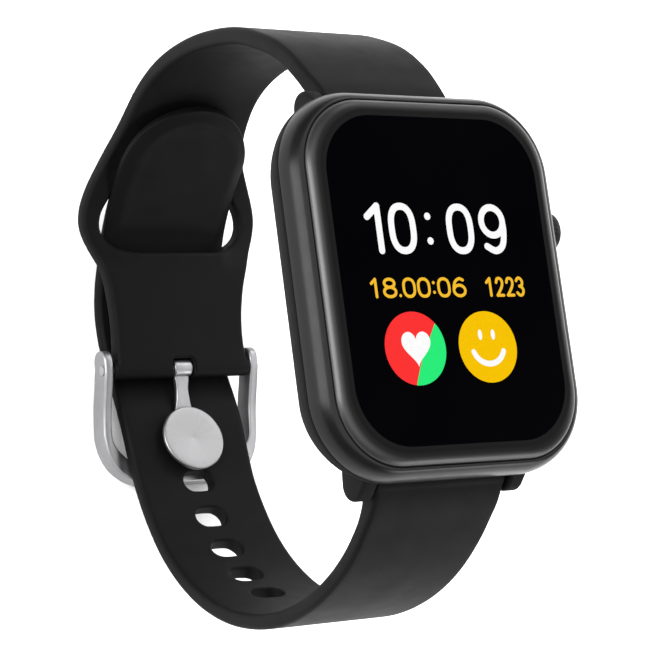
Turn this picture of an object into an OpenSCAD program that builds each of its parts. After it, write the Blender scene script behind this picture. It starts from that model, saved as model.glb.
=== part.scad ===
/* [Case] */
// Width of the case at its widest line, 9 to 3 o'clock
case_w = 38.5; // [37.5:0.5:39.5]
// Length of the case at its widest line, 12 to 6 o'clock
case_l = 46; // [45:0.5:47]
// Corner radius of the case outline
case_r = 10; // [9.5:0.25:10.5]
// Height of the metal rim above the case back
rim_z = 9.6; // [9.4:0.1:10]
// Height of the joint between rear housing and metal frame
seam_z = 6.7; // [6.6:0.05:6.8]
// Thickness of the floor of the rear housing
floor_t = 1.2; // [1:0.1:1.3]

/* [Glass] */
// Width of the cover glass
glass_w = 34.65; // [34:0.05:34.7]
// Length of the cover glass
glass_l = 43.05; // [42.4:0.05:43.1]
// Height of the glass face above the rim
glass_rise = 1.0; // [0.6:0.1:1.1]
// Width of the polished bevel round the glass
glass_bevel = 1.3; // [0.9:0.1:1.6]

/* [Crown] */
// Radius of the crown knob
crown_r = 2.7; // [2.3:0.1:2.7]
// How far the crown stands out from the centre line of the case
crown_x = 21.7; // [21.2:0.1:22]
// Place of the crown along the case
crown_y = 6.9; // [6.5:0.1:7.2]
// Travel of the crown when pressed
crown_travel = 0.4; // [0.2:0.05:0.4]

/* [Lugs and spring bars] */
// Distance of each spring bar from the middle of the case
bar_y = 22.4; // [22.3:0.05:22.5]
// Height of each spring bar above the case back
bar_z = 2.7; // [2.6:0.05:2.8]
// Gap between a pair of lugs
lug_gap = 19.6; // [19.4:0.1:19.7]
// Thickness of each lug
lug_t = 2.2; // [2:0.1:2.4]
// Radius of the lug's rounded end
lug_r = 2; // [1.9:0.05:2.1]

/* [Strap] */
// Width of the strap between the lugs
strap_w = 18.8; // [18:0.1:19]
// Thickness of the short strap
upper_t = 2.2; // [2:0.1:2.3]
// Thickness of the long strap
lower_t = 2; // [1.8:0.1:2.1]
// Width of the long strap at the clasp
tail_w = 18.8; // [18.2:0.1:19]
// Spacing of the adjustment holes
hole_pitch = 5.8; // [5.6:0.1:6]
// Radius of an adjustment hole's ends
hole_r = 1.6; // [1.5:0.05:1.7]

/* [Clasp] */
// Height of the buckle bar below the case back
clasp_z = -51.8; // [-51.8:0.05:-51.6]
// Place of the buckle bar along the case
clasp_y = 1.2; // [1.1:0.05:1.3]
// Outer half width of the buckle frame
frame_hw = 12.5; // [12.4:0.1:12.8]
// Radius of the round disc on the tongue
disc_r = 4.6; // [4.3:0.1:4.7]

/* [Hidden] */
$fn = 64;
eps = 0.01;
screw_x = 12;
screw_y = 15.6;
crown_z = 4.9;

// outline helpers -------------------------------------------------------
module rr2(w, l, r) {
  square([w - 2*r, l], center = true);
  square([w, l - 2*r], center = true);
  for (sx = [-1, 1], sy = [-1, 1])
    translate([sx*(w/2 - r), sy*(l/2 - r)]) circle(r = r);
}
module rr(w, l, r, z0, z1) {
  translate([0, 0, z0]) linear_extrude(height = z1 - z0) rr2(w, l, r);
}
// a slice of the case outline, pulled in by e across and by k*e along
module slice(z, e, h = eps, k = 1) {
  rr(case_w - 2*e, case_l - 2*k*e, case_r - 0.85*e, z, z + h);
}
// cylinder along X from x0 to x1 at (y, z)
module xcyl(r, x0, x1, y = 0, z = 0) {
  translate([x0, y, z]) rotate([0, 90, 0]) cylinder(r = r, h = x1 - x0);
}
// extrude a (y, z) outline along X from x0 to x1
module xex(x0, x1) {
  translate([x0, 0, 0]) rotate([90, 0, 90]) linear_extrude(height = x1 - x0) children();
}

// path helpers ----------------------------------------------------------
function cr(a, b, c, d, t) = 0.5*((2*b) + (c - a)*t + (2*a - 5*b + 4*c - d)*t*t
  + (3*b - a - 3*c + d)*t*t*t);
function smooth(P, n) = concat([for (i = [0:len(P) - 2], k = [0:n - 1])
  cr(P[max(i - 1, 0)], P[i], P[i + 1], P[min(i + 2, len(P) - 1)], k/n)], [P[len(P) - 1]]);
function unit(v) = v/norm(v);
// the left-hand normal of the path at point i
function nrm(P, i) = let (d = unit(P[min(i + 1, len(P) - 1)] - P[max(i - 1, 0)])) [-d[1], d[0]];
function rev(P) = [for (i = [len(P) - 1:-1:0]) P[i]];
function band(P, h) = concat([for (i = [0:len(P) - 1]) P[i] + h*nrm(P, i)],
  rev([for (i = [0:len(P) - 1]) P[i] - h*nrm(P, i)]));
function run(P, i = 0, s = 0, acc = []) = i >= len(P) ? acc :
  let (t = i == 0 ? 0 : s + norm(P[i] - P[i - 1])) run(P, i + 1, t, concat(acc, [t]));
function at(P, S, s) = [lookup(s, [for (i = [0:len(P) - 1]) [S[i], P[i][0]]]),
  lookup(s, [for (i = [0:len(P) - 1]) [S[i], P[i][1]]])];

// middle line of the short strap, as (y, z), from the 12 o'clock spring bar
// round the back of the wrist to the buckle bar
upper_pts = [[bar_y, bar_z], [25, 1.5], [28.5, -1], [31.9, -4.5], [34.5, -8.8],
  [36.5, -13.3], [37.9, -18.4], [38.8, -24], [38.9, -29.5], [38.2, -34.5], [36.5, -39],
  [33.8, -42.7], [30.2, -45.5], [26, -47.4], [21.5, -48.7], [17, -49.8], [12, -50.7],
  [6.5, -51.4], [clasp_y, clasp_z]];
U = smooth(upper_pts, 3);
// the long strap lies outside the short one as far as the slot, crosses the
// slot, and ends on the wrist side; these are its distances from the short
// strap's middle line at upper_pts 15 down to 10
cross_off = [-3.6, -2.1, 0.1, 2.05, 2.5, 2.5];
lower_pts = concat([[-bar_y, bar_z], [-24.9, 1.5], [-28.2, -1.6], [-31.3, -5.8], [-33.6, -10.5],
  [-35.1, -15.6], [-35.8, -21.1], [-35.5, -27.1], [-34.2, -32.9], [-31.8, -38.3], [-28.5, -42.9],
  [-24.4, -46.7], [-19.9, -49.4], [-15.3, -51.3], [-11, -52.3], [-7, -53], [-3, -54.1],
  [1.6, -55.6], [6.5, -56.4], [12, -55.9]],
  [for (k = [0:5]) let (i = 15 - k, n = nrm(upper_pts, i)) upper_pts[i] - cross_off[k]*n]);
L = smooth(lower_pts, 3);
LS = run(L);
// distance along the long strap of the hole that the tongue's peg sits in
peg_s = lookup(-9.3, [for (i = [30:len(L) - 1]) if (L[i][0] < 13) [L[i][0], LS[i]]]);
// half widths of the short strap's clasp end, by y
plate_pts = [[38.5, 9.2], [36, 9.3], [33.5, 9.6], [31, 10.3], [28.5, 11.3], [26, 12.5],
  [24, 13.3], [22.2, 13.75], [20.3, 13.7], [18.5, 13.1], [16.5, 12.1], [14.5, 11.3],
  [12, 10.7], [8, 10.2], [4, 10.2], [1, 10.4], [-1, 10.4]];
// half widths of the slot, by y
slot_pts = [[31.4, 6.8], [30.9, 8.4], [30, 9.6], [28, 9.9], [26, 10.1], [24, 10.5], [22.5, 11],
  [21, 11.2], [19.8, 11], [18.8, 10.3], [18, 9.1], [17.3, 7.2]];
module outline(P) {
  Q = smooth(P, 2);
  polygon(concat([for (p = Q) [p[1], p[0]]], rev([for (p = Q) [-p[1], p[0]]])));
}

// case ------------------------------------------------------------------
// metal frame: sloped, softly rounded rim round the glass
module case_frame() color([0.27, 0.27, 0.29]) difference() {
  hull() {
    slice(seam_z + 0.05, 0.06);
    slice(7.3, 0.14, k = 0.73);
    slice(7.9, 0.28, k = 0.73);
    slice(8.5, 0.52, k = 0.73);
    slice(9.0, 0.86, k = 0.73);
    slice(9.35, 1.18, k = 0.73);
    slice(rim_z - eps, 1.6, k = 0.73);
  }
  rr(glass_w + 0.1, glass_l + 0.1, 8.38, 8.6, rim_z + 1);
  difference() {
    rr(32, 40.4, 7, seam_z - 1, 9);
    for (sx = [-1, 1], sy = [-1, 1]) hull() for (d = [0, 2.6])
      translate([sx*(screw_x + d), sy*(screw_y + d), seam_z]) cylinder(r = 1.9, h = 0.85);
  }
  for (sx = [-1, 1], sy = [-1, 1]) translate([sx*screw_x, sy*screw_y, seam_z - 1])
    cylinder(r = 0.62, h = 3);
  xcyl(2.9, 18.75, 23, crown_y, crown_z);
}

// black rear housing with the four lugs in one piece
module rear_housing() color([0.10, 0.10, 0.11]) difference() {
  union() {
    hull() {
      slice(0, 4.1);
      slice(0.35, 3.45);
      slice(0.9, 2.9);
      slice(1.8, 2.15);
      slice(3.0, 1.35);
      slice(4.2, 0.68);
      slice(5.3, 0.22);
      slice(seam_z - eps, 0.05);
    }
    for (sx = [-1, 1], sy = [-1, 1]) lug(sx, sy);
  }
  // inside space with four screw bosses left standing
  difference() {
    union() {
      rr(31.2, 38, 6.7, floor_t, 3.3);
      rr(34.5, 38.4, 7.5, 3, seam_z + 1);
    }
    for (sx = [-1, 1], sy = [-1, 1]) translate([sx*screw_x, sy*screw_y, 0])
      cylinder(r = 1.9, h = seam_z);
  }
  // recesses for the strap ends, open to the back
  for (sy = [-1, 1]) {
    xcyl(1.95, -lug_gap/2, lug_gap/2, sy*bar_y, bar_z);
    translate([-lug_gap/2, sy > 0 ? bar_y - 1.95 : -bar_y - 3.2, -1])
      cube([lug_gap, 5.15, bar_z + 1]);
    translate([-lug_gap/2, sy > 0 ? bar_y : -bar_y - 3.2, bar_z - 1])
      cube([lug_gap, 3.2, 2.95]);
    // spring bar holes in the lugs
    xcyl(0.47, -lug_gap/2 - 1.5, lug_gap/2 + 1.5, sy*bar_y, bar_z);
  }
  // groove for the gasket
  difference() {
    rr(37.06, 43.66, 9.03, 6.2, seam_z + 1);
    rr(35.74, 42.34, 8.37, 6, seam_z + 2);
  }
  // sensor window seat
  translate([0, 0, -1]) cylinder(r = 7.03, h = 1.8);
  translate([0, 0, -1]) cylinder(r = 5.8, h = 3);
  for (sx = [-1, 1]) translate([sx*2.6, -12.5, -1]) cylinder(r = 0.92, h = 3);
  // screws, with sunk heads
  for (sx = [-1, 1], sy = [-1, 1]) translate([sx*screw_x, sy*screw_y, -1]) {
    cylinder(r = 0.66, h = 9);
    cylinder(r = 1.2, h = 1.85);
  }
  // crown bore and the sunk seat of the knob
  xcyl(1.22, 16, 20, crown_y, crown_z);
  xcyl(2.9, 18.75, 23, crown_y, crown_z);
}
module lug(sx, sy) {
  x0 = sx > 0 ? lug_gap/2 : -lug_gap/2 - lug_t;
  difference() {
    xex(x0, x0 + lug_t) {
      translate([sy*bar_y, bar_z]) circle(r = lug_r);
      polygon([[sy*19.5, 1.0], [sy*bar_y, bar_z - lug_r], [sy*bar_y, bar_z],
        [sy*(bar_y + lug_r*cos(40)), bar_z + lug_r*sin(40)], [sy*(bar_y - 0.7), 6.3], [sy*19.5, 6.3]]);
    }
  }
}

module cover_glass() color([0.02, 0.02, 0.03]) hull() {
  e = glass_bevel;
  rr(glass_w, glass_l, 8.33, 9.0, rim_z + 0.1);
  rr(glass_w - 0.5*e, glass_l - 0.5*e, 8.33 - 0.2*e, rim_z + 0.5, rim_z + 0.5 + eps);
  rr(glass_w - 1.1*e, glass_l - 1.1*e, 8.33 - 0.4*e, rim_z + 0.8, rim_z + 0.8 + eps);
  rr(glass_w - 2*e, glass_l - 2*e, 8.33 - 0.7*e, rim_z + glass_rise - eps, rim_z + glass_rise);
}
module glass_gasket() color([0.15, 0.15, 0.16]) difference() {
  rr(glass_w, glass_l, 8.33, 8.6, 9.0);
  rr(32.2, 40.6, 7.1, 8, 10);
}
module display_panel() color([0.05, 0.05, 0.09]) rr(31.6, 40, 6.8, 7.65, 8.98);
// flat ribbon from the panel down to the board
module display_flex() color([0.75, 0.45, 0.12]) xex(-4, 4)
  polygon([[16.6, 7.44], [16.6, 7.62], [18.72, 7.62], [18.72, 3.35], [18.54, 3.35], [18.54, 7.44]]);
// plastic carrier that holds the board and battery down under the panel
module inner_frame() color([0.20, 0.20, 0.21]) difference() {
  union() {
    rr(33.8, 37.8, 7.3, 5.75, 6.5);
    rr(30.4, 35.6, 6, 6.4, 7.4);
  }
  rr(27.6, 32.8, 5, 6.45, 8);
  for (sx = [-1, 1], sy = [-1, 1]) hull() for (d = [0, 2.6])
    translate([sx*(screw_x + d), sy*(screw_y + d), 4]) cylinder(r = 2.15, h = 5);
  translate([-4.4, 16.3, 5]) cube([8.8, 4, 3]);
  translate([11, 3.6, 5]) cube([8, 6.6, 3]);
  translate([-13, -13, 5]) cube([17, 20, 3]);
}
module battery() color([0.72, 0.74, 0.76]) union() {
  translate([-15.2, -13.6, 2.35]) cube([21.4, 22.6, 3.1]);
  translate([-9, 9, 3.2]) cube([8, 0.6, 1.2]);
}
module main_board() color([0.05, 0.28, 0.16]) difference() {
  translate([0, 0, 2.45]) linear_extrude(height = 0.8)
    polygon([[-9.9, 9.9], [6.8, 9.9], [6.8, -4.6], [15.3, -4.6], [15.3, 11.6],
      [9.9, 14.2], [9.9, 18.6], [-9.9, 18.6]]);
  for (p = [[7.6, -3.8], [-9.3, 18.15], [9.3, 18.15]]) translate([p[0], p[1], 0])
    cylinder(r = 0.35, h = 9);
}
module board_shield() color([0.75, 0.76, 0.78]) difference() {
  translate([-9, 10.4, 3.25]) cube([18, 7.2, 1.5]);
  translate([-8.8, 10.6, 3]) cube([17.6, 6.8, 1.55]);
}
module board_chips() color([0.08, 0.08, 0.08]) {
  translate([-7.6, 11.4, 3.25]) cube([5.6, 5.2, 0.9]);
  translate([0.2, 11.6, 3.25]) cube([4, 4.6, 0.8]);
  translate([8, -1.6, 3.25]) cube([3.6, 3.6, 0.8]);
  translate([13.2, -3.2, 3.25]) cube([2, 1.6, 0.6]);
  translate([13.2, -0.4, 3.25]) cube([2, 1.2, 0.5]);
  translate([-3.9, 17.8, 3.25]) cube([7.8, 0.7, 0.8]);
}
module antenna_flex() color([0.78, 0.5, 0.2]) translate([-17.1, -8, 3.1])
  cube([0.2, 17, 2.4]);

// back sensor and charging ----------------------------------------------
module sensor_window() color([0.06, 0.06, 0.08]) cylinder(r = 7, h = 0.8);
module sensor_barrier() color([0.1, 0.1, 0.1]) difference() {
  translate([0, 0, 0.82]) cylinder(r = 5.6, h = 0.66);
  translate([0, 0, 0]) cylinder(r = 1.7, h = 3);
  for (sx = [-1, 1]) translate([sx*3.6, 0, 0.5]) translate([-1.1, -1.1, 0]) cube([2.2, 2.2, 2]);
}
module sensor_leds() {
  color([0.4, 0.9, 0.4]) translate([-0.9, -0.7, 0.9]) cube([1.8, 1.4, 0.58]);
  for (sx = [-1, 1]) color([0.2, 0.2, 0.25]) translate([sx*3.6 - 0.9, -0.9, 0.9])
    cube([1.8, 1.8, 0.58]);
}
module sensor_board() color([0.05, 0.28, 0.16]) rr(14, 12, 2, 1.5, 2.1);
module charging_contacts() color([0.85, 0.7, 0.35]) for (sx = [-1, 1])
  translate([sx*2.6, -12.5, 0.02]) { cylinder(r = 0.9, h = 1.2); cylinder(r = 0.7, h = 2.2); }
module charging_magnets() color([0.6, 0.6, 0.62]) for (sx = [-1, 1])
  translate([sx*5.6, -15.8, floor_t]) cylinder(r = 1.8, h = 1.05);
module housing_gasket() color([0.3, 0.12, 0.1]) difference() {
  rr(37, 43.6, 9, 6.25, seam_z + 0.05);
  rr(35.8, 42.4, 8.4, 6, seam_z + 1);
}
module case_screws() color([0.55, 0.55, 0.57]) for (sx = [-1, 1], sy = [-1, 1])
  translate([sx*screw_x, sy*screw_y, 0]) difference() {
    union() {
      translate([0, 0, 0.15]) cylinder(r = 1.1, h = 0.7);
      translate([0, 0, 0.8]) cylinder(r = 0.6, h = 6.6);
    }
    for (a = [0, 90]) rotate([0, 0, a]) translate([-0.7, -0.12, 0]) cube([1.4, 0.24, 0.5]);
  }

// vibration motor -------------------------------------------------------
vib = [10.9, -8.9, floor_t];
module vibration_can() color([0.78, 0.78, 0.8]) translate(vib) difference() {
  cylinder(r = 4, h = 2.9);
  translate([0, 0, 0.25]) cylinder(r = 3.75, h = 2.4);
  cylinder(r = 0.42, h = 3, center = true);
}
module vibration_shaft() color([0.85, 0.85, 0.87]) translate(vib)
  cylinder(r = 0.4, h = 2.6);
module vibration_rotor() color([0.45, 0.35, 0.2]) translate(vib) difference() {
  union() {
    translate([0, 0, 0.5]) cylinder(r = 1.1, h = 1.9);
    intersection() {
      translate([0, 0, 0.7]) cylinder(r = 3.5, h = 1.5);
      translate([-4, -4, 0]) cube([8, 4, 4]);
    }
  }
  translate([0, 0, -1]) cylinder(r = 0.43, h = 6);
}

// crown -----------------------------------------------------------------
module crown_bush() color([0.7, 0.62, 0.4]) difference() {
  union() {
    xcyl(1.18, 16.65, 17.9, crown_y, crown_z);
    xcyl(0.85 + 0.8, 16.65, 17.22, crown_y, crown_z);
  }
  xcyl(0.83, 16, 20, crown_y, crown_z);
}
module crown_seal() color([0.2, 0.2, 0.2]) translate([18.1, crown_y, crown_z])
  rotate([0, 90, 0]) rotate_extrude() translate([1.0, 0]) circle(r = 0.16, $fn = 24);
module crown_switch() color([0.12, 0.12, 0.12]) difference() {
  translate([12.3, crown_y - 1.8, 3.25]) cube([2.5, 3.6, 2.95]);
  xcyl(0.65, 13.3, 16, crown_y, crown_z);
}
module switch_plunger() color([0.8, 0.75, 0.6])
  xcyl(0.6, 14.1, 15.55, crown_y, crown_z);
module crown_stem() color([0.8, 0.8, 0.82])
  xcyl(0.8, 15.6, 20.2, crown_y, crown_z);
module crown_clip() color([0.5, 0.5, 0.52]) difference() {
  xcyl(1.45, 16.2, 16.45, crown_y, crown_z);
  xcyl(0.81, 16, 17, crown_y, crown_z);
}
// knob with a domed face and a grip of fine notches
module crown_knob() color([0.13, 0.13, 0.14]) difference() {
  translate([19.2, crown_y, crown_z]) rotate([0, 90, 0]) rotate_extrude()
    polygon(concat([[0, 0], [crown_r - 0.25, 0], [crown_r, 0.25], [crown_r, 1.25]],
      [for (a = [10:10:90]) [(crown_r - 0.2)*cos(a) + 0.2*cos(a), 1.25 + (crown_x - 20.45)*sin(a)]]));
  xcyl(0.8, 19, 20.2, crown_y, crown_z);
  for (a = [0:15:359]) translate([19.2, crown_y, crown_z]) rotate([a, 0, 0])
    translate([0.35, crown_r + 0.02, 0]) rotate([0, 90, 0]) cylinder(r = 0.13, h = 0.8, $fn = 16);
}

// straps ----------------------------------------------------------------
module upper_strap() color([0.16, 0.16, 0.17]) difference() {
  union() {
    intersection() {
      xex(-14, 14) polygon(band(U, upper_t/2));
      union() {
        translate([-strap_w/2, 20, -36.5]) cube([strap_w, 25, 45]);
        translate([0, 0, -58]) linear_extrude(height = 21.6) outline(plate_pts);
      }
    }
    xcyl(1.6, -strap_w/2, strap_w/2, bar_y, bar_z);
    xcyl(1.3, -10.4, 10.4, clasp_y, clasp_z);
  }
  translate([0, 0, -58]) linear_extrude(height = 20) outline(slot_pts);
  xcyl(0.8, -12, 12, bar_y, bar_z);
  xcyl(0.7, -12, 12, clasp_y, clasp_z);
  // notch for the tongue
  translate([-1.8, clasp_y - 2, clasp_z - 2]) cube([3.6, 3.3, 4]);
  release_notch(1);
}
// window in a strap end for the quick-release knob
module release_notch(sy) translate([-7.75, sy*bar_y - 0.7, bar_z - 3]) cube([2.8, 1.4, 3]);
module lower_strap() color([0.14, 0.14, 0.15]) difference() {
  union() {
    xex(-tail_w/2, tail_w/2) polygon(band(L, lower_t/2));
    xcyl(1.6, -strap_w/2, strap_w/2, -bar_y, bar_z);
  }
  xcyl(0.8, -12, 12, -bar_y, bar_z);
  release_notch(-1);
  // adjustment holes
  for (k = [-5:0]) let (s = peg_s + k*hole_pitch, p = at(L, LS, s),
      d = at(L, LS, s + 0.5) - at(L, LS, s - 0.5))
    translate([0, p[0], p[1]]) rotate([atan2(d[1], d[0]), 0, 0])
      for (sx = [-0.7, 0, 0.7]) translate([sx, 0, -3])
        if (sx == 0) translate([-0.7, -hole_r, 0]) cube([1.4, 2*hole_r, 6]);
        else cylinder(r = hole_r, h = 6);
  // round end of the tail
  let (n = len(L), p = at(L, LS, LS[n - 1] - tail_w/2), d = L[n - 1] - p)
    translate([0, p[0], p[1]]) rotate([atan2(d[1], d[0]), 0, 0]) translate([0, 0, -5])
      difference() {
        translate([-14, 0, 0]) cube([28, 14, 12]);
        translate([0, 0, -1]) cylinder(r = tail_w/2, h = 14);
      }
}

// quick-release spring bars ----------------------------------------------
module bar_tube(sy) difference() {
  union() {
    xcyl(0.75, -9.3, 9.3, sy*bar_y, bar_z);
    xcyl(0.42, 9.2, 11, sy*bar_y, bar_z);
  }
  xcyl(0.5, -10, 0, sy*bar_y, bar_z);
  translate([-7.5, sy*bar_y - 0.46, bar_z - 2]) cube([2.35, 0.92, 2]);
}
module release_pin(sy) union() {
  xcyl(0.44, -10.95, -5.5, sy*bar_y, bar_z);
  translate([-7, sy*bar_y, bar_z - 2.0]) cylinder(r = 0.38, h = 2.0);
  translate([-7, sy*bar_y, bar_z - 2.35]) cylinder(r = 0.66, h = 0.6);
}
function coil_ring(R, w, a, x) = [for (b = [0:60:300])
  [x + w*sin(b), (R + w*cos(b))*cos(a), (R + w*cos(b))*sin(a)]];
module bar_spring(sy) {
  turns = 7; per = 8; n = turns*per; R = 0.34; w = 0.09;
  pts = [for (i = [0:n]) each coil_ring(R, w, i*360/per, -5.35 + 5.2*i/n)];
  faces = concat([[for (k = [5:-1:0]) k]], [[for (k = [0:5]) n*6 + k]],
    [for (i = [0:n - 1], k = [0:5]) each [[i*6 + k, i*6 + (k + 1)%6, (i + 1)*6 + (k + 1)%6],
      [i*6 + k, (i + 1)*6 + (k + 1)%6, (i + 1)*6 + k]]]);
  translate([0, sy*bar_y, bar_z]) polyhedron(pts, faces);
}
module upper_bar_tube() color([0.78, 0.78, 0.8]) bar_tube(1);
module lower_bar_tube() color([0.78, 0.78, 0.8]) bar_tube(-1);
module upper_release_pin() color([0.7, 0.7, 0.72]) release_pin(1);
module lower_release_pin() color([0.7, 0.7, 0.72]) release_pin(-1);
module upper_bar_spring() color([0.6, 0.6, 0.62]) bar_spring(1);
module lower_bar_spring() color([0.6, 0.6, 0.62]) bar_spring(-1);

// clasp -----------------------------------------------------------------
module buckle_bar() color([0.75, 0.75, 0.77])
  xcyl(0.66, -frame_hw + 0.15, frame_hw - 0.15, clasp_y, clasp_z);
// side shape of the buckle frame, as (y, z)
frame_pts = [[4, -52.4], [1.5, -52.45], [-1, -53.2], [-4, -54.2], [-7.5, -54.85],
  [-10.5, -54.85], [-12.6, -54.6], [-13.9, -54.4]];
module buckle_frame() color([0.8, 0.8, 0.82]) difference() {
  intersection() {
    union() {
      // two flat arms outside the strap
      for (sx = [-1, 1]) translate([sx*(frame_hw + 10.95)/2, 0, 0])
        xex(-(frame_hw - 10.95)/2, (frame_hw - 10.95)/2) intersection() {
          polygon(band(smooth(frame_pts, 3), 1.65));
          translate([-9.6, -60]) square([14, 10]);
        }
      // bar across behind the strap
      xex(-frame_hw, frame_hw) intersection() {
        polygon(band(smooth(frame_pts, 3), 1.15));
        translate([-16, -60]) square([7.8, 10]);
      }
    }
    translate([0, 0, -60]) linear_extrude(height = 20) difference() {
      translate([0, 5.1]) rr2(2*frame_hw, 39.4, 7);
      translate([0, 8.2]) rr2(21.9, 40.4, 5.4);
    }
  }
  xcyl(0.69, -20, 20, clasp_y, clasp_z);
}
// the disc and the end of the tongue lie along the strap, tilted by this angle
lie = 13;
seat = [-8.95, clasp_z + 0.32];
function on_seat(a, b) = [seat[0] + a*cos(lie) + b*sin(lie), seat[1] - a*sin(lie) + b*cos(lie)];
module tongue() color([0.8, 0.8, 0.82]) difference() {
  union() {
    xcyl(1.15, -1.5, 1.5, clasp_y, clasp_z);
    xex(-1.05, 1.05) polygon([[clasp_y, clasp_z + 1.15], [clasp_y, clasp_z - 0.4],
      [-0.2, clasp_z - 0.75], on_seat(4.7, 0.03), on_seat(0, 0.03), on_seat(0, 0.42),
      on_seat(4.75, 0.42), [-0.6, clasp_z + 0.1], [0.35, clasp_z + 0.8]]);
    translate([0, seat[0], seat[1]]) rotate([-lie, 0, 0]) cylinder(r = 2.4, h = 0.45);
  }
  xcyl(0.69, -4, 4, clasp_y, clasp_z);
  translate([0, seat[0], seat[1]]) rotate([-lie, 0, 0]) translate([0, 0, -1])
    cylinder(r = 0.6, h = 4);
}
// round disc riveted on the tongue, with the peg that enters a strap hole
module tongue_stud() color([0.83, 0.83, 0.85]) translate([0, seat[0], seat[1]])
  rotate([-lie, 0, 0]) union() {
    translate([0, 0, 0.47]) rotate_extrude()
      polygon([[0, 0], [disc_r - 0.2, 0], [disc_r, 0.2], [disc_r, 0.6], [disc_r - 0.15, 0.75], [0, 0.95]]);
    translate([0, 0, -0.1]) cylinder(r = 0.58, h = 0.8);
    translate([0, 0, -2.75]) cylinder(r = 1.05, h = 2.72);
  }

// parts -----------------------------------------------------------------
case_frame();
rear_housing();
cover_glass();
glass_gasket();
display_panel();
display_flex();
inner_frame();
battery();
main_board();
board_shield();
board_chips();
antenna_flex();
sensor_window();
sensor_barrier();
sensor_leds();
sensor_board();
charging_contacts();
charging_magnets();
housing_gasket();
case_screws();
vibration_can();
vibration_shaft();
vibration_rotor();
crown_bush();
crown_seal();
crown_switch();
switch_plunger();
crown_stem();
crown_clip();
crown_knob();
upper_strap();
upper_bar_tube();
upper_release_pin();
upper_bar_spring();
lower_strap();
lower_bar_tube();
lower_release_pin();
lower_bar_spring();
buckle_bar();
buckle_frame();
tongue();
tongue_stud();
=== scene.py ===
import math

import bpy
import numpy as np
from mathutils import Matrix, Vector


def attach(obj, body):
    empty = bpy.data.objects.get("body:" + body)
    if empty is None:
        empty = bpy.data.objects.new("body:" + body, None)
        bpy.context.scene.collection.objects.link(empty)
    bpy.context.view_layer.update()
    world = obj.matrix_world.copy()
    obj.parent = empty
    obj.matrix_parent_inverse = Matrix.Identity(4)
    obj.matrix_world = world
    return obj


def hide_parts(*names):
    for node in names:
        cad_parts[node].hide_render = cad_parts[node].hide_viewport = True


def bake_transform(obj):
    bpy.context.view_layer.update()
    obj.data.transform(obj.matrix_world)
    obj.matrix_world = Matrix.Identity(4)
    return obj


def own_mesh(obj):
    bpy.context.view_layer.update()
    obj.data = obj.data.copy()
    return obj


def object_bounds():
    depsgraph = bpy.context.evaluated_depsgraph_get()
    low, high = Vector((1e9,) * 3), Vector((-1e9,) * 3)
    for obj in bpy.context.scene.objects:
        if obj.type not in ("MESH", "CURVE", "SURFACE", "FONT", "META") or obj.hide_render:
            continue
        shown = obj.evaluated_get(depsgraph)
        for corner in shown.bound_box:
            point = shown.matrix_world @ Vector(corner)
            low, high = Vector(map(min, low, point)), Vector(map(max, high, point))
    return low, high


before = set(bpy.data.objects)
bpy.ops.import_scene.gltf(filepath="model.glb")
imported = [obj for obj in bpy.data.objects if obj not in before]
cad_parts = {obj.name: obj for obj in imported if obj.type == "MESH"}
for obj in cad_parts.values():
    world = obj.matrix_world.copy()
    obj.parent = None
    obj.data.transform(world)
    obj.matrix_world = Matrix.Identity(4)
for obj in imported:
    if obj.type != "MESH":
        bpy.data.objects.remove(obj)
cad_box = [list(v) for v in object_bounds()]
scene = bpy.context.scene
scene.view_settings.view_transform = "Standard"
MM = 0.001

# ------------------------------------------------------------------ camera
R = Vector((0.82589918, -0.12766797, 0.54917341))
U_ = Vector((0.01780056, 0.97944503, 0.2009243))
F = Vector((0.56353677, 0.15616762, -0.81119541))
cam_data = bpy.data.cameras.new("camera")
cam_data.sensor_width = 36.0
cam_data.lens = 2300 * 36.0 / 654
cam_data.clip_start, cam_data.clip_end = 0.01, 20
cam = bpy.data.objects.new("camera", cam_data)
scene.collection.objects.link(cam)
cam.matrix_world = Matrix(((R[0], U_[0], -F[0], -0.1624657), (R[1], U_[1], -F[1], -0.0454824),
                           (R[2], U_[2], -F[2], 0.2186496), (0, 0, 0, 1)))
scene.camera = cam


# --------------------------------------------------------------- materials
def mat(name):
    m = bpy.data.materials.new(name)
    m.use_nodes = True
    nt = m.node_tree
    b = nt.nodes["Principled BSDF"]
    return m, nt, b


def noise(nt, scale, detail=3.0, rough=0.55, coord="Object"):
    tc = nt.nodes.new("ShaderNodeTexCoord")
    n = nt.nodes.new("ShaderNodeTexNoise")
    n.inputs["Scale"].default_value = scale
    n.inputs["Detail"].default_value = detail
    n.inputs["Roughness"].default_value = rough
    nt.links.new(tc.outputs[coord], n.inputs["Vector"])
    return n


def ramp(nt, src, stops):
    r = nt.nodes.new("ShaderNodeValToRGB")
    e = r.color_ramp.elements
    while len(e) < len(stops):
        e.new(0.5)
    for k, (p, c) in enumerate(stops):
        e[k].position = p
        e[k].color = (*c, 1) if len(c) == 3 else c
    nt.links.new(src, r.inputs[0])
    return r


def grey(v):
    return (v, v, v)


def bump(nt, b, src, strength, dist, prev=None):
    u = nt.nodes.new("ShaderNodeBump")
    u.inputs["Strength"].default_value = strength
    u.inputs["Distance"].default_value = dist
    nt.links.new(src, u.inputs["Height"])
    if prev is not None:
        nt.links.new(prev.outputs[0], u.inputs["Normal"])
    nt.links.new(u.outputs[0], b.inputs["Normal"])
    return u


def maprange(nt, src, a, b_, c, d):
    m = nt.nodes.new("ShaderNodeMapRange")
    for k, v in (("From Min", a), ("From Max", b_), ("To Min", c), ("To Max", d)):
        m.inputs[k].default_value = v
    nt.links.new(src, m.inputs["Value"])
    return m


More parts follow.
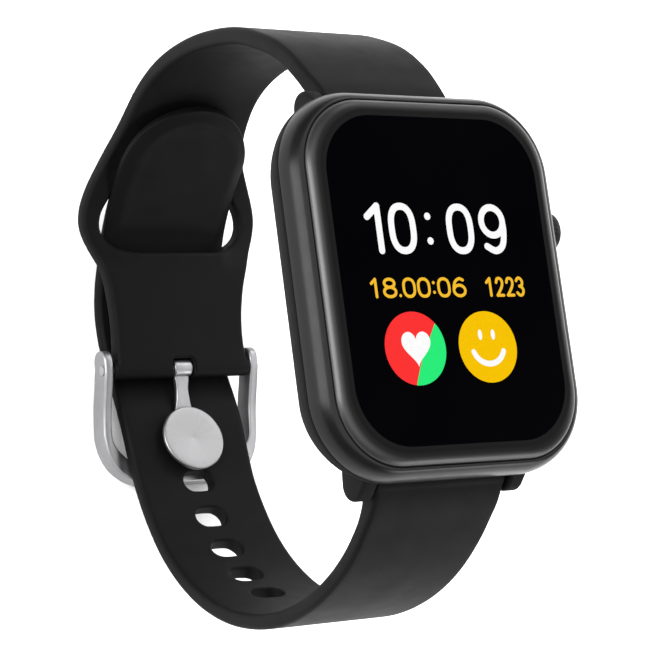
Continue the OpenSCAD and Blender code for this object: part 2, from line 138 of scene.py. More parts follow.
def surface(name, c0, c1, rough0, rough1, metallic=0.0, big=60, fine=9000, bstr=0.15,
            bdist=0.00002, mid=None, spec=None, coat=0.0, coat_rough=0.1, sheen=0.0):
    """A plain moulded or finished surface: slow colour drift, patchy roughness, fine grain."""
    m, nt, b = mat(name)
    n1 = noise(nt, big, 4.0, 0.6)
    r = ramp(nt, n1.outputs[0], [(0.3, c0), (0.7, c1)])
    nt.links.new(r.outputs[0], b.inputs["Base Color"])
    n2 = noise(nt, mid or big * 7, 5.0, 0.65)
    mr = maprange(nt, n2.outputs[0], 0.3, 0.7, rough0, rough1)
    nt.links.new(mr.outputs[0], b.inputs["Roughness"])
    n3 = noise(nt, fine, 2.0, 0.5)
    bump(nt, b, n3.outputs[0], bstr, bdist)
    b.inputs["Metallic"].default_value = metallic
    if spec is not None:
        b.inputs["Specular IOR Level"].default_value = spec
    if coat:
        b.inputs["Coat Weight"].default_value = coat
        b.inputs["Coat Roughness"].default_value = coat_rough
    if sheen:
        b.inputs["Sheen Weight"].default_value = sheen
        b.inputs["Sheen Roughness"].default_value = 0.5
    return m


M = {}
M["silicone"] = surface("silicone", grey(0.0019), grey(0.0027), 0.56, 0.64, big=45, fine=6500,
                        bstr=0.22, bdist=0.00003, spec=0.055)
M["frame"] = surface("frame_satin_metal", (0.0022, 0.0022, 0.0024), (0.0032, 0.0032, 0.0034), 0.28, 0.34,
                     metallic=0.0, big=80, fine=14000, bstr=0.10, bdist=0.00001, spec=0.13)
M["housing"] = surface("housing_black", (0.003, 0.003, 0.0033), (0.004, 0.004, 0.0043), 0.66, 0.74,
                       big=70, fine=11000, bstr=0.2, bdist=0.00002, spec=0.05)
M["glass"] = surface("cover_glass_black", (0.0004, 0.0004, 0.0006), (0.0007, 0.0007, 0.001), 0.03, 0.06,
                     big=30, fine=500, bstr=0.01, bdist=0.000005, spec=0.0)


def glass_rim_painted_reflection():
    """The polished edge of the glass: a painted reflection, light grey at the rim, running into the black field."""
    m, nt, b = mat("glass_rim_painted_reflection")
    at = nt.nodes.new("ShaderNodeAttribute")
    at.attribute_name = "edge"
    n = noise(nt, 60, 3.0)
    # painted reflection: grey ramp over the edge mask, brightest at the rim, black inwards
    r = ramp(nt, at.outputs["Fac"], [(0.0, grey(0.0003)), (0.25, grey(0.0006)), (0.55, grey(0.008)), (0.82, grey(0.036)), (1.0, grey(0.05))])
    mx = nt.nodes.new("ShaderNodeMix")
    mx.data_type = "RGBA"
    mx.blend_type = "MULTIPLY"
    mx.inputs["Factor"].default_value = 1.0
    r2 = ramp(nt, n.outputs[0], [(0.3, grey(0.92)), (0.7, grey(1.0))])
    nt.links.new(r.outputs[0], mx.inputs["A"])
    nt.links.new(r2.outputs[0], mx.inputs["B"])
    nt.links.new(mx.outputs["Result"], b.inputs["Base Color"])
    mm = maprange(nt, at.outputs["Fac"], 0.1, 0.7, 0.0, 0.9)
    nt.links.new(mm.outputs[0], b.inputs["Metallic"])
    rr = maprange(nt, n.outputs[0], 0.3, 0.7, 0.34, 0.42)
    nt.links.new(rr.outputs[0], b.inputs["Roughness"])
    b.inputs["Specular IOR Level"].default_value = 0.05
    return m


M["bevel"] = glass_rim_painted_reflection()
M["crown"] = surface("crown_black", (0.003, 0.003, 0.0033), (0.004, 0.004, 0.0044), 0.4, 0.5,
                     metallic=0.0, spec=0.08, big=300, fine=15000, bstr=0.15, bdist=0.00001)
M["steel"] = surface("steel_satin", (0.26, 0.26, 0.265), (0.31, 0.31, 0.315), 0.28, 0.40,
                     metallic=1.0, big=200, fine=12000, bstr=0.08, bdist=0.00001)
M["polished"] = surface("steel_polished", (0.20, 0.20, 0.205), (0.235, 0.235, 0.24), 0.38, 0.48,
                        metallic=1.0, big=160, fine=10000, bstr=0.05, bdist=0.00001)
M["pcb"] = surface("pcb_green", (0.012, 0.09, 0.045), (0.02, 0.14, 0.07), 0.3, 0.45, big=900,
                   fine=9000, bstr=0.3, bdist=0.00004)
M["chip"] = surface("chip_black", grey(0.015), grey(0.03), 0.45, 0.6, big=400, fine=15000)
M["flex"] = surface("flex_copper", (0.45, 0.2, 0.05), (0.6, 0.3, 0.09), 0.3, 0.5, big=500, fine=9000)
M["battery"] = surface("battery_foil", (0.5, 0.5, 0.52), (0.62, 0.62, 0.64), 0.28, 0.5,
                       metallic=0.8, big=250, fine=3000, bstr=0.5, bdist=0.00008)
M["plastic"] = surface("inner_plastic", grey(0.03), grey(0.05), 0.5, 0.65, big=150, fine=9000)
M["seal"] = surface("seal_rubber", grey(0.012), grey(0.02), 0.6, 0.75, big=300, fine=12000)
M["red_seal"] = surface("gasket_silicone", (0.2, 0.03, 0.02), (0.26, 0.05, 0.03), 0.5, 0.65, big=300)
M["gold"] = surface("contact_gold", (0.85, 0.6, 0.22), (0.95, 0.7, 0.3), 0.16, 0.3, metallic=1.0,
                    big=700, fine=15000)
M["magnet"] = surface("magnet_nickel", (0.5, 0.5, 0.5), (0.6, 0.6, 0.6), 0.25, 0.4, metallic=1.0)
M["tungsten"] = surface("rotor_tungsten", (0.2, 0.17, 0.13), (0.28, 0.24, 0.18), 0.35, 0.5,
                        metallic=0.9, big=500)
M["panel"] = surface("display_panel", (0.004, 0.004, 0.007), (0.008, 0.008, 0.012), 0.1, 0.2, big=60)
M["led"] = surface("sensor_led", (0.25, 0.6, 0.25), (0.4, 0.8, 0.35), 0.1, 0.25, big=900)


def glow(name, c, strength):
    """A lit part of the display: faint pixel grain over an emissive colour."""
    m, nt, b = mat(name)
    n = noise(nt, 5200, 1.0, 0.5)
    r = ramp(nt, n.outputs[0], [(0.35, tuple(0.93 * v for v in c)), (0.65, c)])
    nt.links.new(r.outputs[0], b.inputs["Emission Color"])
    b.inputs["Emission Strength"].default_value = strength
    b.inputs["Base Color"].default_value = (*[0.002 * v for v in c], 1)
    b.inputs["Specular IOR Level"].default_value = 0.0
    b.inputs["Roughness"].default_value = 0.5
    return m


M["lit_white"] = glow("display_white", (1.0, 1.0, 1.0), 1.0)
M["lit_amber"] = glow("display_amber", (0.95, 0.53, 0.03), 1.0)
M["lit_red"] = glow("display_red", (1.0, 0.035, 0.035), 1.0)
M["lit_green"] = glow("display_green", (0.025, 0.87, 0.2), 1.0)
M["lit_yellow"] = glow("display_yellow", (0.96, 0.56, 0.002), 1.0)


def disc_steel_painted_rays():
    """Turned steel: fine rings in the bump, with faint radial rays from the centre as a painted reflection in the
    colour, and in the roughness.
    """
    m, nt, b = mat("steel_turned_painted_rays")
    tc = nt.nodes.new("ShaderNodeTexCoord")
    mp = nt.nodes.new("ShaderNodeMapping")
    mp.inputs["Location"].default_value = (0, 0, 0)
    nt.links.new(tc.outputs["Object"], mp.inputs["Vector"])
    w = nt.nodes.new("ShaderNodeTexWave")
    w.wave_type = "RINGS"
    w.rings_direction = "Z"
    w.inputs["Scale"].default_value = 2200
    w.inputs["Distortion"].default_value = 0.6
    w.inputs["Detail"].default_value = 2
    nt.links.new(mp.outputs[0], w.inputs["Vector"])
    g = nt.nodes.new("ShaderNodeTexGradient")
    g.gradient_type = "RADIAL"
    nt.links.new(mp.outputs[0], g.inputs["Vector"])
    n = nt.nodes.new("ShaderNodeTexNoise")
    n.noise_dimensions = "1D"
    n.inputs["Scale"].default_value = 26
    n.inputs["Detail"].default_value = 3
    nt.links.new(g.outputs["Fac"], n.inputs["W"])
    # painted reflection: the radial rays of the brushing, as a small lift and drop of the colour by angle
    r = ramp(nt, n.outputs[0], [(0.3, (0.195, 0.195, 0.198)), (0.7, (0.218, 0.218, 0.221))])
    nt.links.new(r.outputs[0], b.inputs["Base Color"])
    b.inputs["Metallic"].default_value = 1.0
    mr = maprange(nt, n.outputs[0], 0.3, 0.7, 0.40, 0.48)
    nt.links.new(mr.outputs[0], b.inputs["Roughness"])
    bump(nt, b, w.outputs["Fac"], 0.12, 0.00001)
    return m


M["disc"] = disc_steel_painted_rays()


# ------------------------------------------------------------ mesh helpers
def mesh_obj(name, verts, faces, mats, fmat=None, body=None, angle=35, unit=MM):
    me = bpy.data.meshes.new(name)
    me.from_pydata([tuple(float(c) for c in v) for v in verts], [], [tuple(int(i) for i in f) for f in faces])
    me.validate()
    for m in mats:
        me.materials.append(m)
    if fmat is not None:
        me.polygons.foreach_set("material_index", np.array(fmat, dtype=np.int32))
    me.update()
    o = bpy.data.objects.new(name, me)
    scene.collection.objects.link(o)
    finish_mesh(o, angle, unit)
    return o


def finish_mesh(o, angle=35, unit=1.0):
    me = o.data
    if unit != 1.0:
        me.transform(Matrix.Scale(unit, 4))
    me.polygons.foreach_set("use_smooth", [True] * len(me.polygons))
    me.set_sharp_from_angle(angle=math.radians(angle))
    me.update()


def outward(o):
    import bmesh
    bm = bmesh.new()
    bm.from_mesh(o.data)
    bmesh.ops.recalc_face_normals(bm, faces=bm.faces)
    bm.to_mesh(o.data)
    bm.free()


def boolean(o, cutters, op="DIFFERENCE", angle=35):
    """Applies exact booleans in millimetres and removes the cutters."""
    for c in cutters:
        outward(c)
        md = o.modifiers.new("b", "BOOLEAN")
        md.operation, md.solver, md.object = op, "EXACT", c
    outward(o)
    dg = bpy.context.evaluated_depsgraph_get()
    dg.update()
    me = bpy.data.meshes.new_from_object(o.evaluated_get(dg))
    o.modifiers.clear()
    old = o.data
    o.data = me
    bpy.data.meshes.remove(old)
    for c in cutters:
        bpy.data.objects.remove(c)
    return o


def raw(name, verts, faces, mats=(), fmat=None):
    """A helper mesh kept in millimetres."""
    return mesh_obj(name, verts, faces, mats, fmat, unit=1.0)


def grid_faces(nr, nc, wrap=True, off=0):
    f = []
    for i in range(nr - 1):
        for j in range(nc if wrap else nc - 1):
            k = (j + 1) % nc
            f.append((off + i * nc + j, off + i * nc + k, off + (i + 1) * nc + k, off + (i + 1) * nc + j))
    return f


def loft(rings, cap0=True, cap1=True, loop=False):
    """rings: equal length closed rings. Returns verts, faces."""
    n = len(rings[0])
    v = np.concatenate(rings)
    f = grid_faces(len(rings), n)
    if loop:
        last = (len(rings) - 1) * n
        f += [(last + j, last + (j + 1) % n, (j + 1) % n, j) for j in range(n)]
    else:
        if cap0:
            f.append(tuple(range(n - 1, -1, -1)))
        if cap1:
            f.append(tuple((len(rings) - 1) * n + j for j in range(n)))
    return v, f


def rrect(w, l, r, na=20, ns=8):
    """Rounded rectangle ring, counter-clockwise, from the middle of the +x side."""
    r = max(r, 0.01)
    pts = []
    hx, hy = w / 2 - r, l / 2 - r
    corners = [(hx, hy, 0), (-hx, hy, 90), (-hx, -hy, 180), (hx, -hy, 270)]
    for k, (cx, cy, a0) in enumerate(corners):
        arc = [(cx + r * math.cos(math.radians(a0 + 90 * i / na)), cy + r * math.sin(math.radians(a0 + 90 * i / na)))
               for i in range(na + 1)]
        pts += arc
        nx_, ny_, _ = corners[(k + 1) % 4]
        b0 = math.radians(corners[(k + 1) % 4][2])
        end = (nx_ + r * math.cos(b0), ny_ + r * math.sin(b0))
        a = arc[-1]
        pts += [(a[0] + (end[0] - a[0]) * i / ns, a[1] + (end[1] - a[1]) * i / ns) for i in range(1, ns)]
    return np.array(pts)


def ring3(p2, z):
    return np.column_stack([p2, np.full(len(p2), z)])


def xcyl(name, r, x0, x1, y, z, n=48, mats=()):
    a = np.linspace(0, 2 * math.pi, n, endpoint=False)
    rings = [np.column_stack([np.full(n, x), y + r * np.cos(a), z + r * np.sin(a)]) for x in (x0, x1)]
    return raw(name, *loft(rings), mats)


def box(name, lo, hi, mats=()):
    x0, y0, z0 = lo
    x1, y1, z1 = hi
    v = [(x0, y0, z0), (x1, y0, z0), (x1, y1, z0), (x0, y1, z0), (x0, y0, z1), (x1, y0, z1), (x1, y1, z1), (x0, y1, z1)]
    f = [(0, 3, 2, 1), (4, 5, 6, 7), (0, 1, 5, 4), (1, 2, 6, 5), (2, 3, 7, 6), (3, 0, 4, 7)]
    return raw(name, v, f, mats)


def zcyl(name, r, z0, z1, x, y, n=48, mats=()):
    a = np.linspace(0, 2 * math.pi, n, endpoint=False)
    rings = [np.column_stack([x + r * np.cos(a), y + r * np.sin(a), np.full(n, z)]) for z in (z0, z1)]
    return raw(name, *loft(rings), mats)


def lathe(profile, n, axis="z", centre=(0, 0, 0), radius=None):
    """profile: (r, h) pairs from axis to axis. radius(theta, r, h) may vary the radius."""
    a = np.linspace(0, 2 * math.pi, n, endpoint=False)
    rings = []
    for r, h in profile:
        rr = np.full(n, r) if radius is None else radius(a, r, h)
        c, s, z = rr * np.cos(a), rr * np.sin(a), np.full(n, h)
        rings.append(np.column_stack([c, s, z] if axis == "z" else [z, c, s]) + np.array(centre))
    return loft(rings)


def spline(P, n=24):
    P = np.array(P, float)
    out = []
    for i in range(len(P) - 1):
        a, b, c, d = P[max(i - 1, 0)], P[i], P[i + 1], P[min(i + 2, len(P) - 1)]
        for k in range(n):
            t = k / n
            out.append(0.5 * (2 * b + (c - a) * t + (2 * a - 5 * b + 4 * c - d) * t * t + (3 * b - a - 3 * c + d) * t ** 3))
    out.append(P[-1])
    return np.array(out)


def smooth01(t):
    t = np.clip(t, 0, 1)
    return t * t * (3 - 2 * t)


class Path:
    """A curve in (y, z) with arc length and left-hand normals."""

    def __init__(self, pts):
        p = spline(pts)
        s = np.concatenate([[0], np.cumsum(np.linalg.norm(np.diff(p, axis=0), axis=1))])
        self.len = s[-1]
        self.s = np.linspace(0, self.len, 1200)
        q = np.column_stack([np.interp(self.s, s, p[:, k]) for k in (0, 1)])
        ker = np.ones(25) / 25
        pad = np.concatenate([2 * q[0] - q[12:0:-1], q, 2 * q[-1] - q[-2:-14:-1]])
        self.p = np.column_stack([np.convolve(pad[:, k], ker, "valid") for k in (0, 1)])
        d = np.gradient(self.p, self.s, axis=0)
        d /= np.linalg.norm(d, axis=1)[:, None]
        self.n = np.column_stack([-d[:, 1], d[:, 0]])

    def at(self, s):
        s = np.asarray(s, float)
        over = np.where(s < 0, s, np.where(s > self.len, s - self.len, 0.0))
        c = np.clip(s, 0, self.len)
        p = np.column_stack([np.interp(c, self.s, self.p[:, k]) for k in (0, 1)])
        n = np.column_stack([np.interp(c, self.s, self.n[:, k]) for k in (0, 1)])
        n /= np.linalg.norm(n, axis=1)[:, None]
        d = np.column_stack([n[:, 1], -n[:, 0]])
        return p + d * over[:, None], n

    def place(self, x, s, h):
        p, n = self.at(s)
        q = p + n * np.asarray(h)[:, None]
        return np.column_stack([x, q[:, 0], q[:, 1]])

    def s_of(self, k, value, lo, hi):
        """Arc length where coordinate k equals value, searched between lo and hi."""
        m = (self.s >= lo) & (self.s <= hi)
        v, s = self.p[m, k], self.s[m]
        i = np.argsort(v)
        return float(np.interp(value, v[i], s[i]))


# --------------------------------------------- design numbers, as in the CAD
bar_y, bar_z = 22.4, 2.7
clasp_y, clasp_z = 1.2, -51.8
upper_pts = [(bar_y, bar_z), (25, 1.5), (28.5, -1), (31.9, -4.5), (34.5, -8.8), (36.5, -13.3),
             (37.9, -18.4), (38.8, -24), (38.9, -29.5), (38.2, -34.5), (36.5, -39), (33.8, -42.7),
             (30.2, -45.5), (26, -47.4), (21.5, -48.7), (17, -49.8), (12, -50.7), (6.5, -51.4),
             (clasp_y, clasp_z)]
UP = Path(upper_pts)
cross_off = [-3.6, -2.1, 0.1, 2.05, 2.5, 2.5]
tail_pts = []
for k in range(6):
    i = 15 - k
    d = np.array(upper_pts[i + 1]) - np.array(upper_pts[i - 1])
    d = d / np.linalg.norm(d)
    n = np.array([-d[1], d[0]])
    tail_pts.append(tuple(np.array(upper_pts[i]) - cross_off[k] * n))
lower_pts = [(-bar_y, bar_z), (-24.9, 1.5), (-28.2, -1.6), (-31.3, -5.8), (-33.6, -10.5), (-35.1, -15.6),
             (-35.8, -21.1), (-35.5, -27.1), (-34.2, -32.9), (-31.8, -38.3), (-28.5, -42.9), (-24.4, -46.7),
             (-19.9, -49.4), (-15.3, -51.3), (-11, -52.3), (-7, -53), (-3, -54.1), (1.6, -55.6),
             (6.5, -56.4), (12, -55.9)] + tail_pts
LO = Path(lower_pts)


def strap_rings(path, stations, half_w, half_t, disp=None, rc=0.62, nflat=26, narc=5):
    """Rings of a rounded rectangular section along a path. The + side follows the path's normal."""
    rings = []
    for s in stations:
        w, t = half_w(s), half_t(s)
        r = min(rc, w * 0.98, t * 0.98)
        x = np.linspace(-(w - r), w - r, nflat)
        a = np.linspace(0, math.pi / 2, narc + 1)[1:-1]
        xs = [x, (w - r) + r * np.sin(a), [w, w], (w - r) + r * np.cos(a), x[::-1],
              -(w - r) - r * np.sin(a), [-w, -w], -(w - r) - r * np.cos(a)]
        hs = [np.full(nflat, t), (t - r) + r * np.cos(a), [t - r, -(t - r)], -(t - r) - r * np.sin(a),
              np.full(nflat, -t), -(t - r) - r * np.cos(a), [-(t - r), t - r], (t - r) + r * np.sin(a)]
        x, h = np.concatenate(xs), np.concatenate(hs)
        ss = np.full(len(x), s)
        if disp is not None:
            x, h = disp(x, ss, h, w, t)
        rings.append(path.place(x, ss, h))
    return rings


def flare(hh, t, lip):
    """How far a cut widens at height hh through a strap of half thickness t, for a soft rim."""
    d = np.clip((abs(hh) - (t - lip)) / lip, 0, 1)
    return lip * (1 - math.sqrt(max(0.0, 1 - d * d))) if d < 1 else lip


def cutter(name, path, outline, t, lip, disp=None, reach=2.6):
    """Prism over a closed (x, s) outline, mapped through the strap's own surface, flared at both faces."""
    o = np.array(outline, float)
    nxt, prv = np.roll(o, -1, 0), np.roll(o, 1, 0)
    tg = nxt - prv
    tg /= np.linalg.norm(tg, axis=1)[:, None]
    nr = np.column_stack([tg[:, 1], -tg[:, 0]])
    area = 0.5 * np.sum(o[:, 0] * nxt[:, 1] - nxt[:, 0] * o[:, 1])
    if area < 0:
        nr = -nr
    levels = [-reach, -t] + [-(t - lip * k / 4) for k in range(1, 5)] + [(t - lip * k / 4) for k in range(4, 0, -1)] + [t, reach]
    rings = []
    for hh in levels:
        q = o + nr * flare(hh, t, lip)
        x, s, h = q[:, 0].copy(), q[:, 1].copy(), np.full(len(q), float(hh))
        if disp is not None:
            x, h = disp(x, s, h, None, t)
        rings.append(path.place(x, s, h))
    return raw(name, *loft(rings))


# ------------------------------------------------------- short, upper strap
plate_pts = [(38.5, 9.3), (36, 9.4), (33.5, 9.7), (31, 10.3), (28.5, 11.3), (26, 12.5), (24, 13.3),
             (22.2, 13.75), (20.3, 13.7), (18.5, 13.1), (16.5, 12.1), (14.5, 11.3), (12, 10.7), (8, 10.2),
             (4, 10.2), (1, 10.4), (-1, 10.4)]
pl = spline(plate_pts, 8)
rear_s = UP.s_of(1, -34.5, 40, 60)
yy = UP.p[:, 0]
U_w = np.where(UP.s < rear_s, 9.4 + 0.5 * smooth01((UP.s - 1.5) / 5) - 0.55 * smooth01((UP.s - 12) / 22),
               np.interp(-yy, -pl[:, 0], pl[:, 1]))
ker = np.ones(41) / 41
U_w = np.convolve(np.pad(U_w, 20, mode="edge"), ker, "valid")


def u_w(s):
    return float(np.interp(s, UP.s, U_w))


def u_t(s):
    """Half thickness: thick at the spring bar and at the buckle bar."""
    a = 1.1 + 0.4 * (1 - smooth01(s / 6.0))
    b = 0.2 * smooth01((s - (UP.len - 3.6)) / 3.0)
    return float(a + b)




BOW = np.array([(14.3, 0.0), (15.3, 0.15), (16.5, 0.7), (18, 1.3), (20, 1.75), (22, 1.9), (24, 1.9), (26, 1.75),
                (28, 1.5), (29.5, 1.2), (31, 0.8), (32.3, 0.4), (33.5, 0.15), (34.6, 0.0)])
bow_y = np.where(UP.s < rear_s, 60.0, UP.p[:, 0])
U_bow = np.convolve(np.pad(np.interp(bow_y, BOW[:, 0], BOW[:, 1]), 12, mode="edge"), np.ones(25) / 25, "valid")


def u_disp(x, s, h, w, t):
    """The rails beside the slot bow away from the wrist."""
    bow = np.interp(s, UP.s, U_bow)
    side = smooth01((np.abs(x) - 7.0) / 2.2)
    return x, h + bow * side


def make_upper():
    st = np.concatenate([[0.0, 0.35], np.arange(0.8, UP.len - 0.2, 0.55), [UP.len]])
    rings = strap_rings(UP, st, u_w, u_t, u_disp)
    o = raw("upper_strap_soft", *loft(rings), [M["silicone"]])
    # slot, in (x, s)
    sp = spline([(6.4, 29.6), (7.6, 29.1), (8.3, 28.2), (8.6, 27), (8.9, 25.8), (9.5, 24.6), (10.3, 23.4), (10.9, 22.3),
                 (11.2, 21), (11.0, 19.8), (10.3, 18.8), (9.1, 18), (7.2, 17.3)], 5)
    side = [(w, UP.s_of(0, y, rear_s, UP.len)) for w, y in sp]
    e0, e1 = side[0], side[-1]
    outline = side + [(x, e1[1] + 0.12) for x in np.linspace(e1[0] - 1, -e1[0] + 1, 14)] + \
        [(-w, s) for w, s in side[::-1]] + [(x, e0[1] - 0.12) for x in np.linspace(-e0[0] + 1, e0[0] - 1, 14)]
    slot = cutter("c_slot", UP, outline, 1.1, 0.5, u_disp, 5.5)
    # rounded ends over the two bars
    end_a = round_bar("c_end_a", 1.6, 9.4, bar_y, bar_z)
    end_b = round_bar("c_end_b", 1.3, 10.75, clasp_y, clasp_z)
    boolean(o, [end_a, end_b], "UNION")
    sn = UP.s_of(0, clasp_y + 1.3, UP.len - 8, UP.len)
    no = [(1.62, UP.len + 3), (1.62, sn + 0.5), (1.45, sn + 0.12), (1.15, sn), (-1.15, sn), (-1.45, sn + 0.12),
          (-1.62, sn + 0.5), (-1.62, UP.len + 3)]
    dense = []
    for a, b in zip(no, no[1:] + no[:1]):
        dense += [(a[0] + (b[0] - a[0]) * k / 4, a[1] + (b[1] - a[1]) * k / 4) for k in range(4)]
    notch = cutter("c_notch", UP, dense, 1.1, 0.3, None)
    cuts = [slot, notch, xcyl("c_bore", 0.8, -12, 12, bar_y, bar_z, 40),
            xcyl("c_bore2", 0.7, -12, 12, clasp_y, clasp_z, 40),
            box("c_rel", (-7.75, bar_y - 0.7, bar_z - 3), (-4.95, bar_y + 0.7, bar_z))]
    boolean(o, cuts)
    finish_mesh(o, 32, MM)
    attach(o, "strap")
    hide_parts("upper_strap")
    return o


def round_bar(name, r, hw, y, z, n=48, e=0.35):
    """A cylinder along X with rounded rims."""
    a = np.linspace(0, 2 * math.pi, n, endpoint=False)
    prof = []
    for k in range(5):
        t = math.pi / 2 * k / 4
        prof.append((-hw + e - e * math.cos(t), r - e + e * math.sin(t)))
    prof += [(-p[0], p[1]) for p in prof[::-1]]
    rings = [np.column_stack([np.full(n, x), y + rr * np.cos(a), z + rr * np.sin(a)]) for x, rr in prof]
    return raw(name, *loft(rings), [M["silicone"]])


# -------------------------------------------------------- long, lower strap
tail_r = 9.7
L_len = LO.len
sc = L_len - tail_r
s_peg = LO.s_of(0, -9.3, 60, 100)


def l_w(s):
    if s > sc:
        return math.sqrt(max(tail_r ** 2 - (s - sc) ** 2, 0.05))
    a = 9.4 - 0.5 * smooth01(s / 30) + 0.3 * smooth01((s - 8) / 14) * (1 - smooth01((s - 74) / 12))
    return float(a + 0.35 * smooth01((s - 66) / 18) + 0.45 * smooth01((s - (s_peg + 8)) / 12))


def l_t(s):
    return float(1.0 + 0.5 * (1 - smooth01(s / 6.0)))


def l_disp(x, s, h, w, t):
    """The tail has a wide soft bevel round its rim on the wrist side."""
    d = np.where(s > sc, tail_r - np.sqrt(x ** 2 + np.maximum(s - sc, 0) ** 2), tail_r - np.abs(x))
    k = smooth01((s - (L_len - 27)) / 8)
    cut = 0.62 * (1 - smooth01(d / 2.0)) * k
    dish = 0.10 * smooth01((d - 2.1) / 0.5) * k
    return x, np.where(h > 0, h - (cut + dish) * np.clip(h / max(t, 0.01), 0, 1), h + 0.2 * (1 - smooth01(d / 1.4)) * k * np.clip(-h / max(t, 0.01), 0, 1))


def make_lower():
    st = np.concatenate([[0.0, 0.35], np.arange(0.8, sc, 0.55), sc + tail_r * np.sin(np.linspace(0.03, math.pi / 2 - 0.02, 30))])
    rings = strap_rings(LO, st, l_w, l_t, l_disp)
    o = raw("lower_strap_soft", *loft(rings), [M["silicone"]])
    boolean(o, [round_bar("c_end_c", 1.6, 9.4, -bar_y, bar_z)], "UNION")
    cuts = []
    for k in range(-5, 1):
        s0 = s_peg + 5.8 * k
        a = np.linspace(0, 2 * math.pi, 56, endpoint=False)
        c, s_ = np.cos(a), np.sin(a)
        ol = np.column_stack([np.sign(c) * 0.7 * np.minimum(1, np.abs(c) * 3) + 1.6 * c, s0 + 1.6 * s_])
        cuts.append(cutter(f"c_h{k}", LO, ol, 1.0, 0.28))
    cuts += [xcyl("c_bore3", 0.8, -12, 12, -bar_y, bar_z, 40),
             box("c_rel2", (-7.75, -bar_y - 0.7, bar_z - 3), (-4.95, -bar_y + 0.7, bar_z))]
    boolean(o, cuts)
    finish_mesh(o, 32, MM)
    p0, p1 = LO.at([3.0])[0][0] * MM, LO.at([s_peg - 24])[0][0] * MM
    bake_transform(o)
    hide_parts("lower_strap")
    return o


# --------------------------------------------------------------------- case
CW, CL, CR = 38.5, 46.0, 10.0
EY = 0.735


def case_ring(e, z, ey=None, na=26, ns=10):
    ey = e if ey is None else ey
    return ring3(rrect(CW - 2 * e, CL - 2 * ey, CR - 0.85 * e, na, ns), z)


def frame_e(z):
    zs = [6.75, 7.3, 7.9, 8.5, 9.0, 9.35, 9.6]
    es = [0.12, 0.2, 0.42, 0.78, 1.15, 1.42, 1.72]
    return spline(np.column_stack([zs, es]), 8), None


def make_frame():
    prof = spline([(0.06, 6.86), (0.12, 7.3), (0.26, 7.9), (0.5, 8.5), (0.84, 9.0), (1.16, 9.32)], 6)
    out = [(0.22, 6.75), (0.15, 6.78)] + [tuple(p) for p in prof] + \
        [(1.38, 9.48), (1.56, 9.565), (1.72, 9.598), (1.82, 9.58), (1.868, 9.53)]
    rings = []
    for e, z in out:
        k = EY if z > 7 else 1.0 - (1 - EY) * max(0, (z - 6.75) / 0.25)
        rings.append(case_ring(e, z, e * k))
    # rebate for the glass, ledge, and inner wall
    seat = rrect(34.75, 43.15, 8.38, 26, 10)
    inner = rrect(32, 40.4, 7, 26, 10)
    rings += [ring3(seat, 9.45), ring3(seat, 8.6), ring3(rrect(32.2, 40.6, 7.1, 26, 10), 8.6), ring3(inner, 8.5),
              ring3(inner, 6.75)]
    o = raw("case_frame_shell", *loft(rings, loop=True), [M["frame"]])
    cuts = [xcyl("c_cr", 2.95, 18.75, 24, 6.9, 4.9, 64)]
    boolean(o, cuts)
    finish_mesh(o, 30, MM)
    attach(o, "case")
    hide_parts("case_frame")
    return o


def rounded_ext(name, outline, x0, x1, e, mats, axis="x", seg=4):
    """Extrudes a closed (y, z) outline along X with rounded rims of radius e."""
    o = np.array(outline, float)
    nxt, prv = np.roll(o, -1, 0), np.roll(o, 1, 0)
    tg = nxt - prv
    tg /= np.maximum(np.linalg.norm(tg, axis=1)[:, None], 1e-9)
    nr = np.column_stack([tg[:, 1], -tg[:, 0]])
    if 0.5 * np.sum(o[:, 0] * nxt[:, 1] - nxt[:, 0] * o[:, 1]) < 0:
        nr = -nr
    rings = []
    lv = [(x0 + e - e * math.cos(math.pi / 2 * k / seg), e - e * math.sin(math.pi / 2 * k / seg)) for k in range(seg + 1)]
    lv += [(x1 - (x - x0), d) for x, d in lv[::-1]]
    for x, d in lv:
        q = o - nr * d
        rings.append(np.column_stack([np.full(len(q), x), q]) if axis == "x" else np.column_stack([q, np.full(len(q), x)]))
    return raw(name, *loft(rings), mats)


def lug_outline(sy):
    a = np.radians(np.linspace(-90, 42, 22))
    pts = [(bar_y + 2.0 * math.cos(t), bar_z + 2.0 * math.sin(t)) for t in a]
    top = pts[-1]
    pts += [(top[0] + (21.7 - top[0]) * k / 6, top[1] + (6.25 - top[1]) * k / 6) for k in range(1, 7)]
    pts += [(21, 6.3), (19.5, 6.3), (19.5, 5), (19.5, 3), (19.5, 1.2), (20.3, 0.95), (21.3, 0.8)]
    return [(sy * y, z) for y, z in pts]


